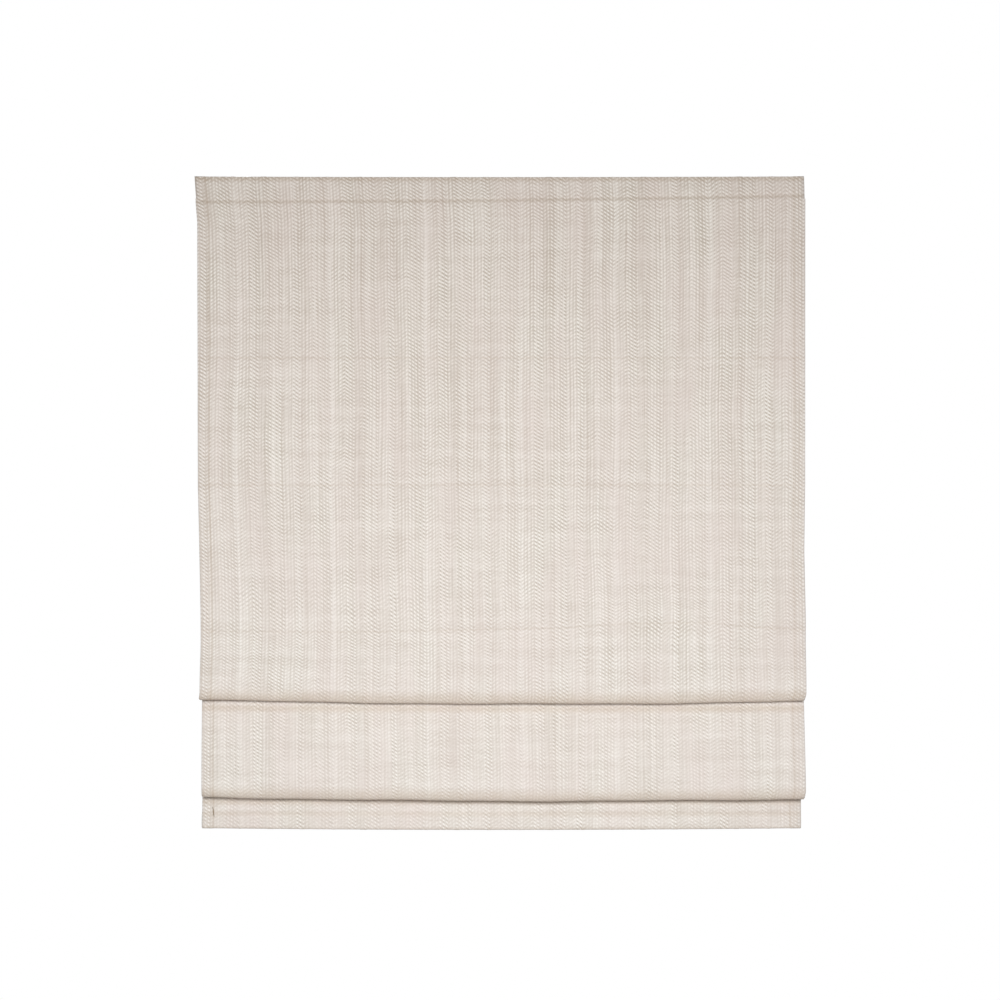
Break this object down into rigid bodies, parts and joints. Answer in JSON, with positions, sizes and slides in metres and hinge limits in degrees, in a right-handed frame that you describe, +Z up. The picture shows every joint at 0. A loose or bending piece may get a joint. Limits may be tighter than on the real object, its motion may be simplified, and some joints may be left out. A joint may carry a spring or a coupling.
{
  "type": "roman blind",
  "caption": "Roman blind of woven zigzag-stripe cloth, hung part way up in soft folds on a ceiling-fixed headrail, with a spring lift, ribs, lift tapes and a weighted hem.",
  "frame": {"origin": "middle of the four bracket screws, on the plane that the brackets are screwed up against", "axes": "+X along the blind to the right, -Y out into the room, +Z up"},
  "size_m": [0.9, 0.0608, 0.9715],
  "materials": {
    "cloth": "matte",
    "tape": "matte",
    "rail": "satin",
    "steel": "satin",
    "rod": "satin",
    "plastic": "satin"
  },
  "bodies": {
    "blind": {"shade_cloth": "cloth", "loop_tape": "tape", "hook_tape": "tape", "headrail": "rail", "end_cap_left": "plastic", "end_cap_right": "plastic", "bracket_left": "steel", "bracket_right": "steel", "swivel_rivets": "steel", "spool_cradle_left": "plastic", "spool_cradle_centre": "plastic", "spool_cradle_right": "plastic", "motor_case": "plastic", "drum_pin": "steel", "power_spring": "steel", "lift_tape_left": "tape", "lift_tape_centre": "tape", "lift_tape_right": "tape"},
    "bottom_rail": {"bottom_bar": "rail", "bar_end_caps": "plastic", "tape_anchors": "plastic"},
    "shaft": {"lift_shaft": "steel", "tape_spool_left": "plastic", "tape_spool_centre": "plastic", "tape_spool_right": "plastic", "output_drum": "plastic"},
    "spring_store": {"storage_drum": "plastic"},
    "lock_left": {"swivel_lock_left": "plastic"},
    "lock_right": {"swivel_lock_right": "plastic"},
    "rib_1": {"rib_1_rod": "rod", "rib_1_pocket": "tape", "rib_1_tips": "plastic", "rib_1_guides": "plastic"},
    "rib_2": {"rib_2_rod": "rod", "rib_2_pocket": "tape", "rib_2_tips": "plastic", "rib_2_guides": "plastic"},
    "rib_3": {"rib_3_rod": "rod", "rib_3_pocket": "tape", "rib_3_tips": "plastic", "rib_3_guides": "plastic"},
    "rib_4": {"rib_4_rod": "rod", "rib_4_pocket": "tape", "rib_4_tips": "plastic", "rib_4_guides": "plastic"},
    "rib_5": {"rib_5_rod": "rod", "rib_5_pocket": "tape", "rib_5_tips": "plastic", "rib_5_guides": "plastic"}
  },
  "joints": [
    {"name": "lift", "type": "slide", "parent": "blind", "child": "bottom_rail", "axis": [0, 0, 1], "range_m": [0, 0.69], "deforming": ["shade_cloth", "lift_tape_left", "lift_tape_centre", "lift_tape_right"]},
    {"name": "rib_1_rise", "type": "slide", "parent": "blind", "child": "rib_1", "axis": [0, 0, 1], "range_m": [0, 0.1773]},
    {"name": "rib_2_rise", "type": "slide", "parent": "blind", "child": "rib_2", "axis": [0, 0, 1], "range_m": [0, 0.3182]},
    {"name": "rib_3_rise", "type": "slide", "parent": "blind", "child": "rib_3", "axis": [0, 0, 1], "range_m": [0, 0.4771]},
    {"name": "rib_4_rise", "type": "slide", "parent": "blind", "child": "rib_4", "axis": [0, 0, 1], "range_m": [0, 0.5196]},
    {"name": "rib_5_rise", "type": "slide", "parent": "blind", "child": "rib_5", "axis": [0, 0, 1], "range_m": [0, 0.6344]},
    {"name": "shaft_turn", "type": "hinge", "parent": "blind", "child": "shaft", "pos_m": [0, -0.00605, -0.018], "axis": [1, 0, 0], "range_deg": [-4525, 0]},
    {"name": "store_turn", "type": "hinge", "parent": "blind", "child": "spring_store", "pos_m": [0.165, 0.00815, -0.018], "axis": [1, 0, 0], "range_deg": [-5195, 0]},
    {"name": "lock_left_turn", "type": "hinge", "parent": "blind", "child": "lock_left", "pos_m": [-0.378, 0, -0.004], "axis": [0, 0, 1], "range_deg": [0, 90]},
    {"name": "lock_right_turn", "type": "hinge", "parent": "blind", "child": "lock_right", "pos_m": [0.378, 0, -0.004], "axis": [0, 0, 1], "range_deg": [-90, 0]}
  ],
  "couplings": [
    {"joint": "rib_1_rise", "follows": "lift", "ratio": 0.25616},
    {"joint": "rib_2_rise", "follows": "lift", "ratio": 0.46044},
    {"joint": "rib_3_rise", "follows": "lift", "ratio": 0.69066},
    {"joint": "rib_4_rise", "follows": "lift", "ratio": 0.75227},
    {"joint": "rib_5_rise", "follows": "lift", "ratio": 0.91872},
    {"joint": "shaft_turn", "follows": "lift", "rad_per_m": -114.3},
    {"joint": "store_turn", "follows": "lift", "rad_per_m": -131.2}
  ]
}
